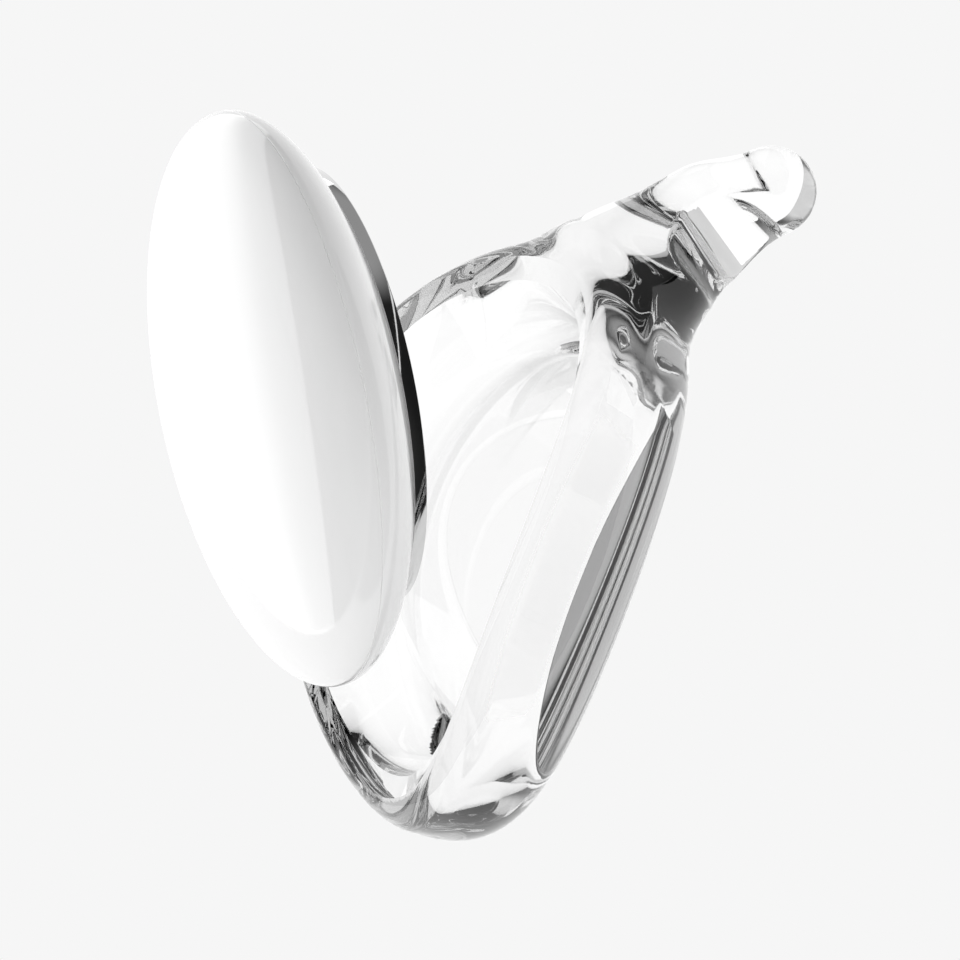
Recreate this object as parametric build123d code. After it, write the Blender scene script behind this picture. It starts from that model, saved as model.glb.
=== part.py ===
from build123d import *
import math
import os

# ---------------------------------------------------------------------------
# Clear dish with a finger tail, and the white domed cap that lies in its mouth.
#
# Dish frame: origin at the middle of the rim's crest, +Z out of the mouth, +Y
# toward the tail. Rim, floor and back are arched about X, so the two Y ends of
# the dish lie lower than its sides. The whole part is then tipped about X and set
# down on the two flats that it rests on, one under the dish and one under the
# tail. The row's origin is the middle of the flat under the dish.
#
# Cap frame: origin at the middle of the lens-shaped cap, +Z out of its dome.
# ---------------------------------------------------------------------------

# Clear body: dish
crest_radius = 34.4        # plan radius of the rim's highest line
crest_arch_radius = 73.9   # arc of the crest, seen from the side
rim_round = 2.6            # outward rounding of the rim
dish_depth = 19.0          # crest to back, at the middle
back_arch_radius = 89.2    # arc of the back, seen from the side
back_round = 11.0          # rounding between the side wall and the back

# Clear body: bowl, whose wall leans more at the two Y ends than at the sides
crest_flat = 0.6           # flat left between the rim's rounding and the bevel
seat_width = 2.1           # bevel round the mouth that the cap lies on
seat_drop = 1.5
side_draft = 15.0          # degrees that the wall leans inward
end_draft = 29.4
floor_depth = 10.5         # crest to floor, at the middle
floor_arch_radius = 37.4   # arc of the floor, seen from the side

# Clear body: tail
tail_slope = 47.4          # degrees below the rim's plane
tip_radius = 5.5
tip_y = 50.3               # middle of the tail's round tip
tip_z = -30.6
tail_sections = (          # distance from the tip, half width, half thickness, sink
    (0.8, 5.4, 5.4, 0.0),
    (9.0, 6.9, 7.7, 0.4),
    (16.0, 13.1, 7.7, 1.7),
    (22.0, 16.6, 7.3, 1.9),
    (29.0, 24.4, 5.9, 7.1),
)
scoop_radius = 8.5         # finger scoops in the two flanks of the tail
scoop_depth = 1.9
scoop_distance = 7.5       # from the tip, along the tail
scoop_lean = 19.0          # degrees that the scoops lean away from the tip
scoop_splay = 20.0         # degrees that they open outward, so that they are shallower at the top

# Flats that the body rests on
flat_depth = 0.2

# Cap: shells
cap_radius = 35.0
cap_half_thickness = 11.0
cap_wall = 2.0
lip_height = 1.6           # spigot of the underside that locates the dome
lip_wall = 1.2
lip_root = 3.0             # how far the spigot reaches down into its own shell
fit_gap = 0.05             # clearance between pieces that fit in each other

# Cap: plug
plug_radius = 26.7
band_height = 1.7          # what shows of the chrome band
band_wall = 1.6
band_lip_width = 1.0       # inward lip that the plug disc clamps
gasket_thickness = 0.5
gasket_width = 1.2
gasket_edge = 0.3          # gasket left outside the screw bosses
flange_thickness = 2.0
flange_edge = 0.45         # flange left between its bore and the screw bosses
disc_recess = 0.2          # how far the plug disc lies inside the band's edge
weight_thickness = 2.4
collar_wall = 1.2          # ring on the plug disc that centres the weight
collar_height = 1.6
collar_gap = 0.35          # between the collar and the flange's bore

# Cap: screws, driven from inside into bosses that stand on the plug disc
screw_count = 3
screw_radius = 0.9
screw_length = 2.8         # below the head
screw_head_radius = 2.5
screw_head_height = 1.2
socket_radius = 0.8
socket_depth = 0.7
boss_radius = 1.8

# Where the cap lies
seat_gap = 0.2             # between the seated cap and the bowl's edge
cap_tip = 28.1             # degrees that the cap is tipped open at rest
cap_rest_y = 8.2           # middle of the cap at rest, in the dish frame
cap_rest_z = 20.4

# Sizes that follow
outer_radius = crest_radius + rim_round
mouth_radius = crest_radius - crest_flat - seat_width
side_lean = math.tan(math.radians(side_draft))
end_lean = math.tan(math.radians(end_draft))
seat_radius = mouth_radius - seat_drop * side_lean
heel_reach = outer_radius - back_round
heel_circle_reach = back_arch_radius + back_round
heel_circle_z = math.sqrt(heel_circle_reach ** 2 - heel_reach ** 2) - back_arch_radius - dish_depth
plug_z = -cap_half_thickness * math.sqrt(1 - (plug_radius / cap_radius) ** 2)
disc_radius = plug_radius - band_wall - fit_gap
disc_top = plug_z - gasket_thickness
disc_bottom = plug_z - band_height + disc_recess
flange_top = plug_z + flange_thickness
boss_hole_radius = boss_radius + fit_gap
band_lip_radius = plug_radius - band_wall - band_lip_width
gasket_radius = band_lip_radius - fit_gap
screw_circle_radius = gasket_radius - gasket_edge - boss_hole_radius
flange_bore_radius = screw_circle_radius - boss_hole_radius - flange_edge
weight_radius = flange_bore_radius - collar_gap - collar_wall - fit_gap


# ---------------------------------------------------------------------------
# Placing
# ---------------------------------------------------------------------------

def resting_tilt():
    """Degrees about X that bring the dish's rounded heel and the tail's tip down to one plane."""
    run = tip_y + heel_reach
    fall = heel_circle_z - tip_z
    line = math.degrees(math.atan2(fall, run))
    closing = math.degrees(math.asin((back_round - tip_radius) / math.hypot(run, fall)))
    return line - closing


def part_location():
    """Dish frame to row frame."""
    tilt = math.radians(resting_tilt())
    heel_y = -heel_reach * math.cos(tilt) - heel_circle_z * math.sin(tilt)
    heel_z = -heel_reach * math.sin(tilt) + heel_circle_z * math.cos(tilt) - back_round
    return Pos(0, -heel_y, -heel_z - flat_depth) * Rot(X=resting_tilt())


def seated_cap_z():
    """Height of the cap's middle when its underside lies on the bowl's edge."""
    return -seat_drop + seat_gap + lens_drop(seat_radius, cap_radius, cap_half_thickness)


def swing_axis():
    """Y and Z of the line, in the dish frame, about which the cap swings from seat to rest."""
    step_y = cap_rest_y
    step_z = cap_rest_z - seated_cap_z()
    lever = 0.5 / math.tan(math.radians(cap_tip / 2))
    axis_y = step_y / 2 - step_z * lever
    axis_z = seated_cap_z() + step_z / 2 + step_y * lever
    return axis_y, axis_z


# ---------------------------------------------------------------------------
# Shapes used more than once
# ---------------------------------------------------------------------------

def arc_drop(radius, reach):
    """How far an arc drops from its top, at one distance from its middle."""
    return radius - math.sqrt(radius ** 2 - reach ** 2)


def lens_drop(radius, half_width, half_height):
    """How far an ellipse's surface lies from its middle plane at one radius."""
    return half_height * math.sqrt(1 - (radius / half_width) ** 2)


def arched_block(top_z, radius, reach):
    """Deep block whose top is an arc in the YZ plane, carried along X."""
    side_z = top_z - arc_drop(radius, reach)
    bottom_z = side_z - 2 * reach
    with BuildPart() as block:
        with BuildSketch(Plane.YZ):
            with BuildLine():
                ThreePointArc((-reach, side_z), (0, top_z), (reach, side_z))
                Polyline((reach, side_z), (reach, bottom_z), (-reach, bottom_z), (-reach, side_z))
            make_face()
        extrude(amount=2 * reach, both=True)
    return block.part


def ring(inner_radius, ring_radius, z_low, z_high):
    """Flat-ended ring, or a disc if the inner radius is zero."""
    height = z_high - z_low
    solid = Pos(0, 0, z_low) * Cylinder(ring_radius, height, align=(Align.CENTER, Align.CENTER, Align.MIN))
    if inner_radius > 0:
        solid -= Pos(0, 0, (z_low + z_high) / 2) * Cylinder(inner_radius, height * 2)
    return solid


def under_lens(half_width, half_height):
    """Lower half of an ellipsoid of revolution."""
    with BuildPart() as lens:
        with BuildSketch(Plane.XZ):
            with BuildLine():
                EllipticalCenterArc((0, 0), half_width, half_height, 270, arc_size=90)
                Polyline((0, -half_height), (0, 0), (half_width, 0))
            make_face()
        revolve(axis=Axis.Z)
    return lens.part


def at_screws():
    return PolarLocations(screw_circle_radius, screw_count, start_angle=90)


def loops_round(part):
    """Long edges that run round the dish, from the lowest to the highest."""
    loops = [edge for edge in part.edges() if edge.length > 4 * mouth_radius]
    return sorted(loops, key=lambda edge: edge.bounding_box().min.Z)


# ---------------------------------------------------------------------------
# Clear body
# ---------------------------------------------------------------------------

def make_dish_blank():
    """Round dish between the arched rim and the arched back, without its bowl."""
    reach = outer_radius + rim_round
    stock = Cylinder(outer_radius, 8 * dish_depth)
    rim_side = stock & arched_block(0, crest_arch_radius, reach)
    rim_side = fillet(loops_round(rim_side)[-1], rim_round - fit_gap)
    back_side = stock - arched_block(-dish_depth, back_arch_radius, reach)
    back_side = fillet(loops_round(back_side)[0], back_round)
    return rim_side & back_side


def make_tail():
    """Tail that tapers from the dish's end to a round tip, with two finger scoops."""
    slope = math.radians(tail_slope)
    along = Vector(0, math.cos(slope), -math.sin(slope))
    up = Vector(0, math.sin(slope), math.cos(slope))
    tip = Vector(0, tip_y, tip_z)
    sections = []
    for distance, half_width, half_thickness, sink in tail_sections:
        plane = Plane(origin=tip - along * distance - up * sink, x_dir=(1, 0, 0), z_dir=along)
        sections.append(plane * Ellipse(half_width, half_thickness))
    tail = loft(sections) + Pos(*tip) * Sphere(tip_radius)
    scoop_middle = tip - along * scoop_distance
    scoop_up = up.rotate(Axis.X, scoop_lean)
    splay = math.radians(scoop_splay)
    for side in (-1, 1):
        offset = side * (tip_radius - scoop_depth + scoop_radius)
        axis = scoop_up * math.cos(splay) + Vector(side * math.sin(splay), 0, 0)
        plane = Plane(origin=(offset, scoop_middle.Y, scoop_middle.Z), z_dir=axis)
        tail -= plane * Cylinder(scoop_radius, 6 * tip_radius)
    return tail


def bowl_section(level):
    """Ellipse in which the bowl's wall is cut at one level, in the dish frame."""
    above_end = level + arc_drop(crest_arch_radius, mouth_radius)
    return Pos(0, 0, level) * Ellipse(mouth_radius + level * side_lean, mouth_radius + above_end * end_lean)


def make_clear_body():
    """Dish and tail in one moulding, with the bowl, the cap's seat and the resting flats."""
    bowl = loft([bowl_section(dish_depth / 2), bowl_section(-1.5 * dish_depth)], ruled=True)
    bowl -= arched_block(-floor_depth, floor_arch_radius, mouth_radius)
    dish = make_dish_blank() - bowl
    mouth = min(loops_round(dish), key=lambda edge: abs(edge.bounding_box().max.X - mouth_radius))
    down_wall = seat_drop * math.hypot(1, side_lean)
    dish = chamfer(mouth, seat_width, down_wall, reference=crest_face(dish, mouth))
    body = dish + (make_tail() - bowl)
    placed = part_location() * body
    return placed - Pos(0, 0, -dish_depth) * Box(400, 400, 2 * dish_depth)


def crest_face(body, mouth):
    """The face on top of the rim, beside the edge of the mouth."""
    beside = [face for face in body.faces() if any(edge.is_same(mouth) for edge in face.edges())]
    return max(beside, key=lambda face: face.center().Z)


# ---------------------------------------------------------------------------
# Cap, in its own frame
# ---------------------------------------------------------------------------

def make_cap_dome():
    """White outer shell of the cap, upper half of the lens, with a step for the spigot."""
    inner_radius = cap_radius - cap_wall
    inner_height = cap_half_thickness - cap_wall
    step_z = lip_height + fit_gap
    step_angle = math.degrees(math.asin(step_z / inner_height))
    step_radius = inner_radius * math.cos(math.radians(step_angle))
    with BuildPart() as dome:
        with BuildSketch(Plane.XZ):
            with BuildLine():
                EllipticalCenterArc((0, 0), cap_radius, cap_half_thickness, 270, arc_size=90)
                Line((0, -cap_half_thickness), (0, -inner_height))
                EllipticalCenterArc((0, 0), inner_radius, inner_height, 270, arc_size=90 - step_angle)
                Polyline((step_radius, -step_z), (inner_radius, -step_z), (inner_radius, 0), (cap_radius, 0))
            make_face()
        revolve(axis=Axis.Z)
    return Rot(X=180) * dome.part


def make_cap_underside():
    """White lower shell, with the flange that carries the plug and the dome's spigot."""
    inner_radius = cap_radius - cap_wall
    outside = under_lens(cap_radius, cap_half_thickness)
    shell = outside - under_lens(inner_radius, cap_half_thickness - cap_wall)
    shell -= ring(0, plug_radius, -2 * cap_half_thickness, -fit_gap)
    shell += ring(flange_bore_radius, plug_radius + cap_wall / 2, plug_z, flange_top) & outside
    lip_radius = inner_radius - fit_gap
    shell += ring(lip_radius - lip_wall, lip_radius, -lip_root, 0) & outside
    shell += ring(lip_radius - lip_wall, lip_radius, -fit_gap, lip_height)
    for place in at_screws():
        shell -= place * Cylinder(boss_hole_radius, 4 * cap_half_thickness)
    return shell


def make_chrome_band():
    """Plated ring round the plug, with an inward lip at its top."""
    band = ring(plug_radius - band_wall, plug_radius, plug_z - band_height, plug_z)
    return band + ring(band_lip_radius, plug_radius - band_wall + fit_gap, disc_top, plug_z)


def make_plug_gasket():
    """Flat ring that seals the cap's hollow, inside the band's lip."""
    gasket = ring(gasket_radius - gasket_width, gasket_radius, disc_top, plug_z)
    for place in at_screws():
        gasket -= place * Cylinder(boss_hole_radius, 4 * cap_half_thickness)
    return gasket


def make_plug_disc():
    """Disc that closes the plug, with the weight's collar and the screw bosses."""
    disc = ring(0, disc_radius, disc_bottom, disc_top)
    collar = weight_radius + fit_gap
    disc += ring(collar, collar + collar_wall, disc_top, disc_top + collar_height)
    for place in at_screws():
        disc += place * ring(0, boss_radius, disc_top, flange_top)
    for place in at_screws():
        disc -= place * ring(0, screw_radius + fit_gap, flange_top - screw_length - fit_gap, flange_top + 1)
    return disc


def make_cap_weight():
    """Steel disc that gives the cap its weight."""
    return ring(0, weight_radius, disc_top, disc_top + weight_thickness)


def make_cap_screws():
    """Three pan-head screws with a round socket."""
    shank = ring(0, screw_radius, flange_top - screw_length, flange_top + fit_gap)
    head_top = flange_top + screw_head_height
    head = ring(0, screw_head_radius, flange_top, head_top)
    socket = ring(0, socket_radius, head_top - socket_depth, head_top + 1)
    screw = shank + head - socket
    return Compound([place * screw for place in at_screws()])


# ---------------------------------------------------------------------------
# Assembly
# ---------------------------------------------------------------------------

def main():
    os.makedirs("parts", exist_ok=True)
    export_step(make_clear_body(), "parts/clear_body.step")
    cap_location = part_location() * Pos(0, cap_rest_y, cap_rest_z) * Rot(X=cap_tip)
    cap_pieces = {
        "cap_dome": make_cap_dome(),
        "cap_underside": make_cap_underside(),
        "chrome_band": make_chrome_band(),
        "plug_gasket": make_plug_gasket(),
        "plug_disc": make_plug_disc(),
        "cap_weight": make_cap_weight(),
        "cap_screws": make_cap_screws(),
    }
    for name, piece in cap_pieces.items():
        export_step(cap_location * piece, f"parts/{name}.step")


main()
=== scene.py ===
import math

import bmesh
import bpy
import numpy as np
import openvdb
from mathutils import Matrix, Vector


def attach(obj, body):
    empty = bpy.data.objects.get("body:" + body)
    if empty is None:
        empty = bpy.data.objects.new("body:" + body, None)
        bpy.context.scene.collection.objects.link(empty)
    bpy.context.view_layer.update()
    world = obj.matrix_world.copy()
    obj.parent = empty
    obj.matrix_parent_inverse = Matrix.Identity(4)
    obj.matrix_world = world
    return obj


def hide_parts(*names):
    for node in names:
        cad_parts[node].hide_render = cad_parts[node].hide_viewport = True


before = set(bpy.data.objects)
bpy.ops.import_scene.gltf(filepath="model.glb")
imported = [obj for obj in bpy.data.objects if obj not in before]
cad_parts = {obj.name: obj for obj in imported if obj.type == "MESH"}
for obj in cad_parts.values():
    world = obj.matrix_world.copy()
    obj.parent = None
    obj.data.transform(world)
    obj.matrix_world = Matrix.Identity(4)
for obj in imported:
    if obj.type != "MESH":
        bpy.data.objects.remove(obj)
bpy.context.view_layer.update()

# ---------------------------------------------------------------------------
# Clear body: outside. One thick moulding in clear acrylic, polished all over: a round dish with an
# arched rim and back, a tail with a finger scoop in each flank, and two small flats that it stands on.
# It is one smooth form, so it is drawn as the zero level of a distance field.
# ---------------------------------------------------------------------------
MM = 0.001
crest_radius = 34.4
crest_arch = 73.9
rim_round = 2.6
dish_depth = 19.0
back_arch = 89.2
back_round = 11.0
tail_slope = math.radians(47.4)
tip_radius = 5.5
tip_y = 50.3
tip_z = -30.6
tail_stations = [0.0, 9.0, 16.0, 22.0, 29.0]
tail_half_widths = [tip_radius, 6.9, 13.1, 16.6, 24.4]
tail_half_heights = [tip_radius, 7.7, 7.7, 7.3, 5.9]
tail_sinks = [0.0, 0.4, 1.7, 1.9, 7.1]
tail_blend = 4.0
scoop_radius = 8.5
scoop_depth = 1.9
scoop_distance = 7.5
scoop_lean = math.radians(19.0)
scoop_splay = math.radians(20.0)
scoop_edge = 0.6
flat_depth = 0.2
voxel = 0.5

outer_radius = crest_radius + rim_round
heel_reach = outer_radius - back_round
heel_z = math.sqrt((back_arch + back_round) ** 2 - heel_reach ** 2) - back_arch - dish_depth
run = tip_y + heel_reach
fall = heel_z - tip_z
tilt = math.atan2(fall, run) - math.asin((back_round - tip_radius) / math.hypot(run, fall))
touch_y = -heel_reach * math.cos(tilt) - heel_z * math.sin(tilt)
touch_z = -heel_reach * math.sin(tilt) + heel_z * math.cos(tilt) - back_round
dish_to_row = (Matrix.Scale(MM, 4) @ Matrix.Translation((0, -touch_y, -touch_z - flat_depth))
               @ Matrix.Rotation(tilt, 4, "X"))


def smooth_path(at, stations, values):
    """Curve through values at stations, flat at its first station, with no overshoot."""
    stations = np.array(stations)
    values = np.array(values)
    steps = np.diff(values) / np.diff(stations)
    means = 2 * steps[:-1] * steps[1:] / np.where(steps[:-1] + steps[1:] == 0, 1, steps[:-1] + steps[1:])
    inner = np.where(steps[:-1] * steps[1:] > 0, means, 0)
    slopes = np.concatenate([[0.0], inner, [steps[-1]]])
    at = np.clip(at, stations[0], stations[-1])
    index = np.clip(np.searchsorted(stations, at) - 1, 0, len(steps) - 1)
    width = stations[index + 1] - stations[index]
    share = (at - stations[index]) / width
    rise = share * share * (3 - 2 * share)
    return (
        values[index] * (1 - rise) + values[index + 1] * rise
        + width * share * (1 - share) ** 2 * slopes[index]
        - width * share ** 2 * (1 - share) * slopes[index + 1]
    )


def meet_round(first, second, radius):
    """Common part of two solids, with a rounded edge."""
    outside = np.hypot(np.maximum(first + radius, 0), np.maximum(second + radius, 0))
    return np.minimum(-radius, np.maximum(first, second)) + outside


def join_smooth(first, second, blend):
    """Two solids joined with a soft hollow between them."""
    near = np.maximum(blend - np.abs(first - second), 0) / blend
    return np.minimum(first, second) - near * near * blend / 4


def dish_distance(x, y, z):
    side = np.hypot(x, y) - outer_radius
    over = np.hypot(y, z + crest_arch) - crest_arch
    under = back_arch - np.hypot(y, z + dish_depth + back_arch)
    return meet_round(meet_round(side, over, rim_round), under, back_round)


def tail_distance(x, y, z):
    back = -(y - tip_y) * math.cos(tail_slope) + (z - tip_z) * math.sin(tail_slope)
    height = (y - tip_y) * math.sin(tail_slope) + (z - tip_z) * math.cos(tail_slope)
    half_width = smooth_path(back, tail_stations, tail_half_widths)
    half_height = smooth_path(back, tail_stations, tail_half_heights)
    height = height + smooth_path(back, tail_stations, tail_sinks)
    past_tip = np.minimum(back, 0) / tip_radius
    level = np.sqrt((x / half_width) ** 2 + (height / half_height) ** 2 + past_tip ** 2) + 1e-6
    steepness = np.sqrt(
        (x / half_width ** 2) ** 2 + (height / half_height ** 2) ** 2 + (past_tip / tip_radius) ** 2
    ) / level + 1e-6
    tail = np.where(level < 0.5, -half_height * 0.5, (level - 1) / steepness)
    return np.maximum(tail, back - tail_stations[-1])


def body_distance(x, y, z):
    """Distance to the outside of the clear body, in the dish's own frame, in millimetres."""
    body = join_smooth(dish_distance(x, y, z), tail_distance(x, y, z), tail_blend)
    back = -(y - tip_y) * math.cos(tail_slope) + (z - tip_z) * math.sin(tail_slope)
    height = (y - tip_y) * math.sin(tail_slope) + (z - tip_z) * math.cos(tail_slope)
    scoop_offset = tip_radius - scoop_depth + scoop_radius
    from_axis = (back - scoop_distance) * math.cos(scoop_lean) - height * math.sin(scoop_lean)
    up_axis = (back - scoop_distance) * math.sin(scoop_lean) + height * math.cos(scoop_lean)
    outward = (np.abs(x) - scoop_offset) * math.cos(scoop_splay) - up_axis * math.sin(scoop_splay)
    scoop = scoop_radius - np.hypot(outward, from_axis)
    body = meet_round(body, scoop, scoop_edge)
    row_z = y * math.sin(tilt) + z * math.cos(tilt) - touch_z - flat_depth
    return np.maximum(body, -row_z)


def body_slope(points, step=0.02):
    """Gradient of the field at points; on the surface it is the normal."""
    slopes = []
    for axis in range(3):
        ahead = points.copy()
        behind = points.copy()
        ahead[:, axis] += step
        behind[:, axis] -= step
        slopes.append(body_distance(*ahead.T) - body_distance(*behind.T))
    return np.stack(slopes, 1) / (2 * step)


room = 3.0
low = np.array([-outer_radius, -outer_radius, tip_z - tip_radius]) - room
high = np.array([outer_radius, tip_y + tip_radius, 0.0]) + room
counts = np.ceil((high - low) / voxel).astype(int)
axes = [low[i] + voxel * np.arange(counts[i]) for i in range(3)]
field = body_distance(*np.meshgrid(*axes, indexing="ij")).astype(np.float32)
band_half = 3 * voxel
volume = openvdb.FloatGrid(band_half)
volume.copyFromArray(np.clip(field, -band_half, band_half), tolerance=0)
volume.gridClass = openvdb.GridClass.LEVEL_SET
points, quads = volume.convertToQuads()
points = low + voxel * points.astype(float)
for _ in range(4):
    slopes = body_slope(points)
    squared = np.maximum((slopes ** 2).sum(1, keepdims=True), 0.05)
    points = points - slopes * (body_distance(*points.T)[:, None] / squared)
outside = bpy.data.meshes.new("clear_moulding")
outside.from_pydata(points.tolist(), [], quads[:, ::-1].tolist())
outside.update()
clear_body = bpy.data.objects.new("clear_moulding", outside)
bpy.context.collection.objects.link(clear_body)

# ---------------------------------------------------------------------------
# Clear body: bowl. Cut out of the moulding: the bevel that the cap lies on, a wall that runs between
# two ellipses, and a floor arched like the rim. The floor's edge is slightly rounded.
# ---------------------------------------------------------------------------
crest_flat = 0.6
seat_width = 2.1
seat_drop = 1.5
side_lean = math.tan(math.radians(15.0))
end_lean = math.tan(math.radians(29.4))
floor_depth = 10.5
floor_arch = 37.4
floor_edge = 1.0
turns = 240
mouth_radius = crest_radius - crest_flat - seat_width
angles = np.linspace(0, 2 * math.pi, turns, endpoint=False)


def crest_height(y):
    return np.sqrt(crest_arch ** 2 - y * y) - crest_arch


def floor_height(y):
    return np.sqrt(floor_arch ** 2 - y * y) - floor_arch - floor_depth


def wall_radius(z):
    """Plan radius of the bowl's wall at each angle, at a height that may differ at each angle."""
    half_width = mouth_radius + z * side_lean
    half_length = mouth_radius + (z - crest_height(mouth_radius)) * end_lean
    return 1 / np.hypot(np.cos(angles) / half_width, np.sin(angles) / half_length)


def wall_meets(height_at):
    """Plan radius at each angle where the wall meets a surface, found by halving the step."""
    radius = np.full(turns, mouth_radius - floor_depth * side_lean)
    for _ in range(40):
        radius = (radius + wall_radius(height_at(radius * np.sin(angles)))) / 2
    return radius


def ring_points(radius, z):
    return np.stack([radius * np.cos(angles), radius * np.sin(angles), z * np.ones(turns)], 1)


mouth = wall_meets(crest_height)
mouth_ring = ring_points(mouth, crest_height(mouth * np.sin(angles)))
seat_top = mouth + seat_width
seat_top_ring = ring_points(seat_top, crest_height(seat_top * np.sin(angles)))
seat_low_z = crest_height(mouth * np.sin(angles)) - seat_drop
seat_low_ring = ring_points(wall_radius(seat_low_z), seat_low_z)
clear_of_rim = 12
beyond_ring = seat_top_ring + (seat_top_ring - seat_low_ring) * 1.5
above_ring = beyond_ring * (1, 1, 0) + (0, 0, clear_of_rim)
foot = wall_meets(floor_height)
foot_ring = ring_points(foot, floor_height(foot * np.sin(angles)))
wall = foot_ring - seat_low_ring
wall_end_ring = foot_ring - floor_edge * wall / np.linalg.norm(wall, axis=1, keepdims=True)
floor_start = foot - floor_edge
floor_start_ring = ring_points(floor_start, floor_height(floor_start * np.sin(angles)))
rings = [above_ring, beyond_ring, seat_low_ring]
for share in np.linspace(0, 1, 12)[1:]:
    rings.append(seat_low_ring + (wall_end_ring - seat_low_ring) * share)
for share in (0.2, 0.4, 0.6, 0.8, 1.0):
    rings.append(wall_end_ring * (1 - share) ** 2 + foot_ring * 2 * share * (1 - share)
                 + floor_start_ring * share ** 2)
for share in np.linspace(1, 0, 22)[1:-1]:
    rings.append(ring_points(floor_start * share, floor_height(floor_start * share * np.sin(angles))))

bowl = bmesh.new()
loops = [[bowl.verts.new(point) for point in ring] for ring in rings]
for upper, lower in zip(loops, loops[1:]):
    for i in range(turns):
        j = (i + 1) % turns
        bowl.faces.new((upper[i], upper[j], lower[j], lower[i]))
centre = bowl.verts.new((0, 0, -floor_depth))
for i in range(turns):
    bowl.faces.new((loops[-1][i], loops[-1][(i + 1) % turns], centre))
bowl.faces.new(loops[0][::-1])
bmesh.ops.recalc_face_normals(bowl, faces=bowl.faces)
bowl_mesh = bpy.data.meshes.new("bowl")
bowl.to_mesh(bowl_mesh)
bowl.free()
bowl_piece = bpy.data.objects.new("bowl", bowl_mesh)
bpy.context.collection.objects.link(bowl_piece)
cut = clear_body.modifiers.new("bowl", "BOOLEAN")
cut.operation = "DIFFERENCE"
cut.solver = "EXACT"
cut.object = bowl_piece
bpy.context.view_layer.update()
evaluated = clear_body.evaluated_get(bpy.context.evaluated_depsgraph_get())
finished = bpy.data.meshes.new_from_object(evaluated)
clear_body.modifiers.clear()
clear_body.data = finished
bpy.data.objects.remove(bowl_piece)
finished.shade_smooth()
finished.set_sharp_from_angle(angle=math.radians(24))

# Normals: the field's own on the outside, the faces' own in the bowl.
places = np.zeros(len(finished.vertices) * 3)
finished.vertices.foreach_get("co", places)
places = places.reshape(-1, 3)
normals = np.zeros(len(finished.loops) * 3)
finished.corner_normals.foreach_get("vector", normals)
normals = normals.reshape(-1, 3)
touching = 0.01
outer_vertex = np.abs(body_distance(*places.T)) < touching
slopes = body_slope(places)
slopes = slopes / np.maximum(np.linalg.norm(slopes, axis=1, keepdims=True), 1e-6)
for face in finished.polygons:
    corners = range(face.loop_start, face.loop_start + face.loop_total)
    vertices = [finished.loops[corner].vertex_index for corner in corners]
    if all(outer_vertex[vertex] for vertex in vertices):
        for corner, vertex in zip(corners, vertices):
            if normals[corner] @ slopes[vertex] > 0.9:
                normals[corner] = slopes[vertex]
finished.normals_split_custom_set(normals.tolist())
finished.transform(dish_to_row)



def surface(name, tones, roughness, grain, relief=0.0, metallic=0.0):
    """Material whose tone and gloss vary a little over the piece, with an optional fine relief."""
    made = bpy.data.materials.new(name)
    made.use_nodes = True
    nodes = made.node_tree.nodes
    links = made.node_tree.links
    shader = nodes["Principled BSDF"]
    shader.inputs["Metallic"].default_value = metallic
    place = nodes.new("ShaderNodeTexCoord")
    cloud = nodes.new("ShaderNodeTexNoise")
    cloud.inputs["Scale"].default_value = grain
    cloud.inputs["Detail"].default_value = 6
    links.new(place.outputs["Object"], cloud.inputs["Vector"])
    tone = nodes.new("ShaderNodeValToRGB")
    for stop, value in zip(tone.color_ramp.elements, tones):
        stop.color = (value, value, value, 1)
    links.new(cloud.outputs["Fac"], tone.inputs["Fac"])
    links.new(tone.outputs["Color"], shader.inputs["Base Color"])
    gloss = nodes.new("ShaderNodeMapRange")
    gloss.inputs["To Min"].default_value = roughness[0]
    gloss.inputs["To Max"].default_value = roughness[1]
    links.new(cloud.outputs["Fac"], gloss.inputs["Value"])
    links.new(gloss.outputs["Result"], shader.inputs["Roughness"])
    if relief:
        fine = nodes.new("ShaderNodeTexNoise")
        fine.inputs["Scale"].default_value = grain * 12
        links.new(place.outputs["Object"], fine.inputs["Vector"])
        bump = nodes.new("ShaderNodeBump")
        bump.inputs["Distance"].default_value = relief
        links.new(fine.outputs["Fac"], bump.inputs["Height"])
        links.new(bump.outputs["Normal"], shader.inputs["Normal"])
    return made


clear = surface("clear_moulding", (0.985, 1.0), (0.0, 0.012), 30)
shader = clear.node_tree.nodes["Principled BSDF"]
shader.inputs["Transmission Weight"].default_value = 1.0
shader.inputs["IOR"].default_value = 1.49
absorption = clear.node_tree.nodes.new("ShaderNodeVolumeAbsorption")
absorption.inputs["Density"].default_value = 7.0
absorption.inputs["Color"].default_value = (0, 0, 0, 1)
output = clear.node_tree.nodes["Material Output"]
clear.node_tree.links.new(absorption.outputs["Volume"], output.inputs["Volume"])
finished.materials.clear()
finished.materials.append(clear)
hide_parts("clear_body")
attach(clear_body, "dish")

# ---------------------------------------------------------------------------
# Cap dome. The upper white shell of the lens-shaped cap, moulded in glossy white plastic.
# ---------------------------------------------------------------------------
cap_radius = 35.0
cap_half_thickness = 11.0
cap_tip = math.radians(28.1)
cap_rest_y = 8.2
cap_rest_z = 20.4
cap_place = Matrix.Translation((0, cap_rest_y, cap_rest_z)) @ Matrix.Rotation(cap_tip, 4, "X")
cap_to_row = dish_to_row @ cap_place


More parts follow.
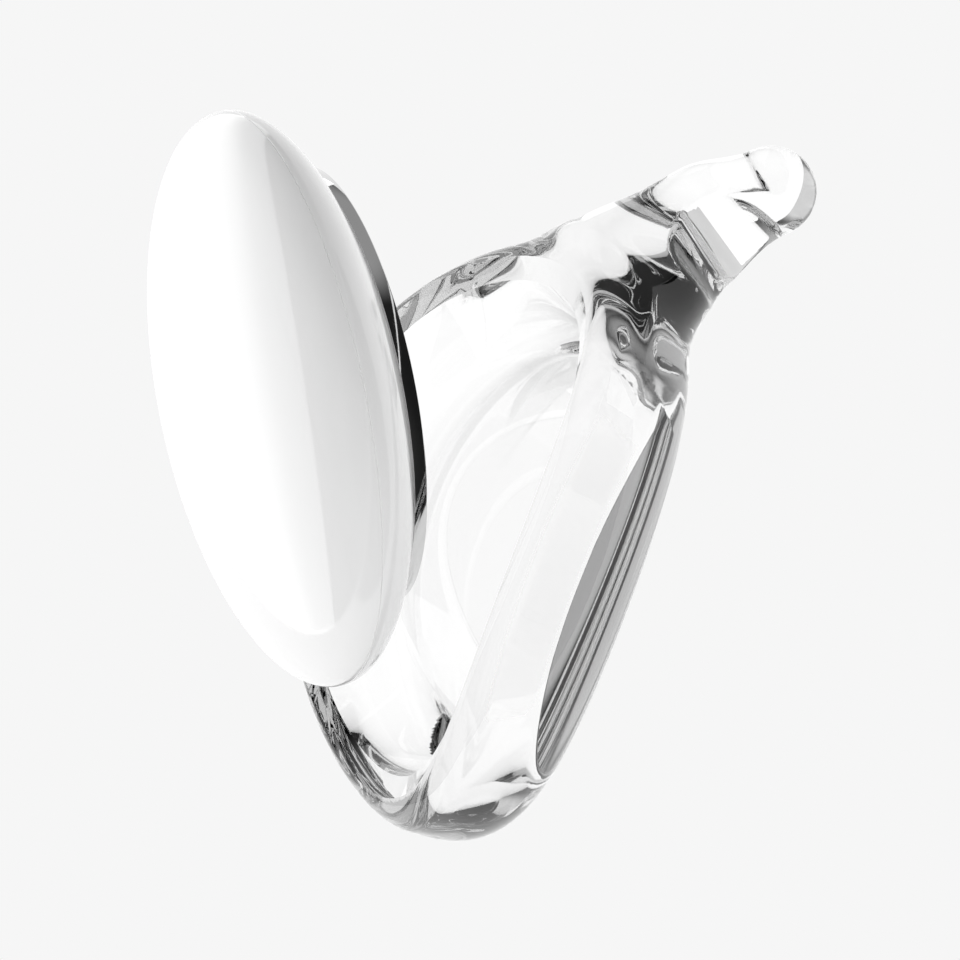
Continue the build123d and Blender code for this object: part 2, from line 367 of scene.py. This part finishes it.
def turned(name, profile, to_row, segments=256):
    """Object turned about Z from a closed profile of radius and height."""
    mesh = bpy.data.meshes.new(name)
    turn_angles = np.linspace(0, 2 * math.pi, segments, endpoint=False)
    count = len(profile)
    places = [(r * math.cos(a), r * math.sin(a), z) for a in turn_angles for r, z in profile]
    faces = []
    for i in range(segments):
        j = (i + 1) % segments
        for k in range(count):
            m = (k + 1) % count
            faces.append((i * count + k, j * count + k, j * count + m, i * count + m))
    mesh.from_pydata(places, [], faces)
    shape = bmesh.new()
    shape.from_mesh(mesh)
    bmesh.ops.remove_doubles(shape, verts=shape.verts, dist=1e-5)
    bmesh.ops.recalc_face_normals(shape, faces=shape.faces)
    shape.to_mesh(mesh)
    shape.free()
    mesh.shade_smooth()
    mesh.set_sharp_from_angle(angle=math.radians(30))
    mesh.transform(to_row)
    made = bpy.data.objects.new(name, mesh)
    bpy.context.collection.objects.link(made)
    return made


def lens_arc(half_width, half_height, start, end, steps):
    """Points of an ellipse, angles in degrees from its long axis."""
    arc = np.radians(np.linspace(start, end, steps))
    return [(half_width * math.cos(a), half_height * math.sin(a)) for a in arc]


cap_wall = 2.0
seam = 0.06
inner_radius = cap_radius - cap_wall
inner_height = cap_half_thickness - cap_wall
dome = turned("cap_dome_shell", [(0.0, cap_half_thickness)]
              + lens_arc(cap_radius, cap_half_thickness, 89, 0.5, 90)
              + [(cap_radius - seam, 0.0), (inner_radius, 0.0)]
              + lens_arc(inner_radius, inner_height, 2, 89, 40)
              + [(0.0, inner_height)], cap_to_row)
white = surface("white_gloss", (0.86, 0.9), (0.05, 0.09), 45, 0.000002)
dome.data.materials.append(white)
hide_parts("cap_dome")
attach(dome, "cap")

# ---------------------------------------------------------------------------
# Cap underside. The lower white shell, moulded like the dome, with a rounded shoulder down to the
# chrome band and a flange inside the band that carries the plug.
# ---------------------------------------------------------------------------
plug_radius = 26.7
band_lip_radius = plug_radius - 2.6
gasket_thickness = 0.5
plug_z = -cap_half_thickness * math.sqrt(1 - (plug_radius / cap_radius) ** 2)
flange_thickness = 2.0
shoulder = 0.3
plug_angle = math.degrees(math.acos(plug_radius / cap_radius))
underside = turned("cap_underside_shell", [(inner_radius, 0.0), (cap_radius - seam, 0.0)]
                   + lens_arc(cap_radius, cap_half_thickness, -0.5, -plug_angle + 1, 60)
                   + [(plug_radius + shoulder * 0.3, plug_z + shoulder * 0.2),
                      (plug_radius - shoulder, plug_z), (band_lip_radius, plug_z),
                      (band_lip_radius, plug_z + flange_thickness),
                      (plug_radius + 1, plug_z + flange_thickness)]
                   + lens_arc(inner_radius, inner_height, -25, -2, 30), cap_to_row)
underside.data.materials.append(white)
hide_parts("cap_underside")
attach(underside, "cap")

# ---------------------------------------------------------------------------
# Chrome band. A plated ring round the plug, polished, with softened edges and an inward lip at its top.
# ---------------------------------------------------------------------------
band_height = 1.7
band_wall = 1.6
band_edge = 0.15
low_z = plug_z - band_height
band = turned("chrome_ring", [
    (band_lip_radius, plug_z), (plug_radius - band_edge, plug_z), (plug_radius, plug_z - band_edge),
    (plug_radius, low_z + band_edge), (plug_radius - 0.3 * band_edge, low_z + 0.3 * band_edge),
    (plug_radius - band_edge, low_z), (plug_radius - band_wall + band_edge, low_z),
    (plug_radius - band_wall, low_z + band_edge), (plug_radius - band_wall, plug_z - gasket_thickness),
    (band_lip_radius, plug_z - gasket_thickness)], cap_to_row)
band.data.materials.append(surface("chrome_plate", (0.58, 0.64), (0.03, 0.07), 60, 0.000001, 1.0))
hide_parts("chrome_band")
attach(band, "cap")

# ---------------------------------------------------------------------------
# Plug disc. White moulded disc inside the band, slightly less glossy than the shells.
# ---------------------------------------------------------------------------


def dress(name, material):
    """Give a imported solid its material."""
    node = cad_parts[name]
    node.data.materials.clear()
    node.data.materials.append(material)


dress("plug_disc", surface("inner_white", (0.78, 0.84), (0.14, 0.24), 35, 0.000004))

# ---------------------------------------------------------------------------
# Plug gasket. Flat silicone ring, matte grey, inside the band's lip.
# ---------------------------------------------------------------------------
dress("plug_gasket", surface("silicone", (0.62, 0.7), (0.55, 0.75), 90, 0.00001))

# ---------------------------------------------------------------------------
# Cap weight. Turned steel disc inside the cap, with a fine random relief.
# ---------------------------------------------------------------------------
dress("cap_weight", surface("turned_steel", (0.5, 0.6), (0.25, 0.4), 200, 0.00001, 1.0))

# ---------------------------------------------------------------------------
# Cap screws. Three plated pan-head screws, brighter than the weight.
# ---------------------------------------------------------------------------
dress("cap_screws", surface("screw_steel", (0.6, 0.68), (0.18, 0.3), 300, 0.000005, 1.0))

# ---------------------------------------------------------------------------
# Floor. Plain and pale, lit evenly, with a brighter sheet just above it that only shows through the
# clear moulding, and a dark card in front that gives the glossy parts something dark to mirror.
# ---------------------------------------------------------------------------


def sheet(name, near_corner, far_corner, height, material):
    """Flat rectangle of the stage."""
    corners = [(near_corner[0], near_corner[1], 0), (far_corner[0], near_corner[1], 0),
               (far_corner[0], far_corner[1], 0), (near_corner[0], far_corner[1], 0)]
    mesh = bpy.data.meshes.new(name)
    mesh.from_pydata(corners, [], [(0, 1, 2, 3)])
    mesh.materials.append(material)
    made = bpy.data.objects.new(name, mesh)
    made.location.z = height
    bpy.context.collection.objects.link(made)
    return made


pale = bpy.data.materials.new("pale_floor")
pale.use_nodes = True
shader = pale.node_tree.nodes["Principled BSDF"]
shader.inputs["Base Color"].default_value = (0, 0, 0, 1)
shader.inputs["Specular IOR Level"].default_value = 0
shader.inputs["Emission Color"].default_value = (0.922, 0.922, 0.922, 1)
shader.inputs["Emission Strength"].default_value = 1.0
lit = pale.copy()
lit.name = "lit_sheet"
lit.node_tree.nodes["Principled BSDF"].inputs["Emission Strength"].default_value = 1.22
dark = bpy.data.materials.new("dark_card")
dark.use_nodes = True
dark.node_tree.nodes["Principled BSDF"].inputs["Base Color"].default_value = (0.02, 0.02, 0.02, 1)
sheet("floor", (-3, -3), (3, 3), -0.0002, pale)
light_table = sheet("light_table", (-3, -3), (3, 3), -0.0001, lit)
light_table.visible_camera = False
card = sheet("dark_card", (0.055, -0.8), (0.8, 0.8), 0.0005, dark)
card.visible_camera = False
card.visible_transmission = False
card.visible_diffuse = False

# ---------------------------------------------------------------------------
# Light. A dark studio with soft round patches of light behind and beside the part, a large softbox
# behind it for the cap's long reflection, and a fill lamp from above.
# ---------------------------------------------------------------------------
world = bpy.data.worlds.new("studio")
bpy.context.scene.world = world
world.use_nodes = True
nodes = world.node_tree.nodes
links = world.node_tree.links
place = nodes.new("ShaderNodeTexCoord")


def glow(direction, half_angle, edge, strength):
    """Round patch of light on the world, with a soft edge."""
    facing = nodes.new("ShaderNodeVectorMath")
    facing.operation = "DOT_PRODUCT"
    facing.inputs[1].default_value = Vector(direction).normalized()
    links.new(place.outputs["Generated"], facing.inputs[0])
    patch = nodes.new("ShaderNodeMapRange")
    patch.interpolation_type = "SMOOTHSTEP"
    patch.inputs["From Min"].default_value = math.cos(math.radians(half_angle + edge))
    patch.inputs["From Max"].default_value = math.cos(math.radians(half_angle))
    patch.inputs["To Max"].default_value = strength
    links.new(facing.outputs["Value"], patch.inputs["Value"])
    return patch.outputs["Result"]


base = nodes.new("ShaderNodeValue")
base.outputs[0].default_value = 0.02
total = base.outputs[0]
for direction, half_angle, edge, strength in (
    ((-1, -0.25, 0.1), 28, 14, 0.66),
    ((-0.3, 1, 0.5), 25, 25, 0.4),
    ((1, -0.7, 0.35), 25, 25, 0.45),
):
    patch = glow(direction, half_angle, edge, strength)
    adding = nodes.new("ShaderNodeMath")
    adding.operation = "ADD"
    links.new(total, adding.inputs[0])
    links.new(patch, adding.inputs[1])
    total = adding.outputs["Value"]
links.new(total, nodes["Background"].inputs["Strength"])
nodes["Background"].inputs["Color"].default_value = (1, 1, 1, 1)
bpy.context.scene.view_settings.view_transform = "Standard"

# Long enough paths for the light that runs on inside the thick moulding.
paths = bpy.context.scene.cycles
paths.max_bounces = 24
paths.transmission_bounces = 24
paths.glossy_bounces = 6


def softbox(name, direction, distance, radius, radiance):
    """Round area lamp that faces the part; the clear moulding doesn't show it."""
    data = bpy.data.lights.new(name, "AREA")
    data.shape = "DISK"
    data.size = 2 * radius
    data.energy = radiance * math.pi * math.pi * radius ** 2
    lamp = bpy.data.objects.new(name, data)
    bpy.context.collection.objects.link(lamp)
    away = Vector(direction).normalized()
    lamp.location = away * distance + cap_to_row.translation
    lamp.rotation_euler = away.to_track_quat("Z", "Y").to_euler()
    lamp.visible_transmission = False
    lamp.visible_camera = False
    return lamp


opaque = bpy.data.collections.new("opaque_pieces")
for piece in (dome, underside, band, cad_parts["plug_disc"]):
    opaque.objects.link(piece)
back_softbox = softbox("back_softbox", (-1, -0.25, 0.25), 1.0, math.tan(math.radians(55)), 1.5)
back_softbox.light_linking.receiver_collection = opaque
fill = softbox("fill", (0.35, -0.35, 0.87), 1.2, 0.5, 3.2)
fill.visible_glossy = False

# ---------------------------------------------------------------------------
# Camera. From the dish's side, a little from above, rolled so that the mouth faces left.
# ---------------------------------------------------------------------------
view_azimuth = math.radians(3.4)
view_elevation = math.radians(25.2)
view_roll = math.radians(61.6)
view_width = 115.3 * MM
view_distance = 1.3
aim_right = 9.1 * MM
aim_up = 3.5 * MM
toward = Vector((math.cos(view_elevation) * math.cos(view_azimuth),
                 math.cos(view_elevation) * math.sin(view_azimuth), math.sin(view_elevation)))
level_right = Vector((-math.sin(view_azimuth), math.cos(view_azimuth), 0))
level_up = toward.cross(level_right)
right = level_right * math.cos(view_roll) - level_up * math.sin(view_roll)
up = toward.cross(right)
camera_data = bpy.data.cameras.new("camera")
camera_data.sensor_width = 36
camera_data.lens = 36 * view_distance / view_width
camera_data.clip_end = 20
camera = bpy.data.objects.new("camera", camera_data)
bpy.context.collection.objects.link(camera)
aim = dish_to_row.translation + right * aim_right + up * aim_up
turn = Matrix((right, up, toward)).transposed().to_4x4()
camera.matrix_world = Matrix.Translation(aim + toward * view_distance) @ turn
bpy.context.scene.camera = camera
